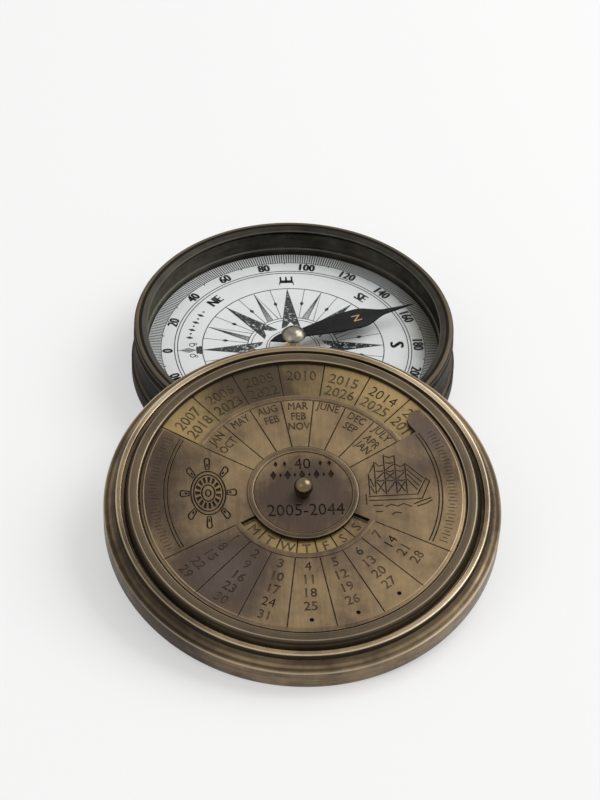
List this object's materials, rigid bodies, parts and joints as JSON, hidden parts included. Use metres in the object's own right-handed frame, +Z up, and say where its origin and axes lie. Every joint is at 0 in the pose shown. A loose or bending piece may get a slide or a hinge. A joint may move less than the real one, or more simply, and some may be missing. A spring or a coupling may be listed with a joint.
{
  "type": "calendar compass",
  "caption": "Round brass compass box with a glazed dial and swinging needle, and its loose lid, leaning in front, with a perpetual calendar plate that turns by a knob.",
  "frame": {"origin": "centre of the compass box's flat underside, on the table", "axes": "+Z up along the box's axis; -Y is the front, where the lid leans"},
  "size_m": [0.0801, 0.1289, 0.0235],
  "materials": {
    "dark_bronze": "dark patinated, satin",
    "old_brass": "antique patina, satin",
    "plate_brass": "antique patina, brushed",
    "grey_brass": "greyed patina, brushed",
    "plain_brass": "turned",
    "pale_brass": "polished",
    "black_ring": "satin black",
    "blued_steel": "black oxide",
    "steel": "ground",
    "card": "matt printed card",
    "glass": "clear",
    "jewel": "polished"
  },
  "bodies": {
    "case": {"case_body": "dark_bronze", "pivot_bush": "plain_brass", "pivot_pin": "steel", "dial_plate": "plain_brass", "dial_card": "card", "dial_ring": "dark_bronze", "glass_spacer": "dark_bronze", "glass": "glass", "retaining_ring": "black_ring"},
    "needle": {"needle": "blued_steel", "needle_cap": "pale_brass", "needle_jewel": "jewel"},
    "lid": {"lid_shell": "old_brass", "spindle_bush": "plain_brass", "year_plate": "plate_brass", "plate_surround": "grey_brass"},
    "calendar": {"calendar_plate": "plate_brass", "knob": "pale_brass", "friction_washer": "steel", "rivet_collar": "plain_brass"}
  },
  "joints": [
    {"name": "lid_lift", "type": "slide", "parent": "case", "child": "lid", "axis": [0, 0, 1], "range_m": [0, 0.06]},
    {"name": "calendar_turn", "type": "hinge", "parent": "lid", "child": "calendar", "pos_m": [0.00311, -0.05395, 0.00778], "axis": [0.0113, -0.1956, 0.9806], "continuous": true},
    {"name": "needle_swing", "type": "hinge", "parent": "case", "child": "needle", "pos_m": [0, 0, 0.0096], "axis": [0, 0, 1], "continuous": true}
  ]
}
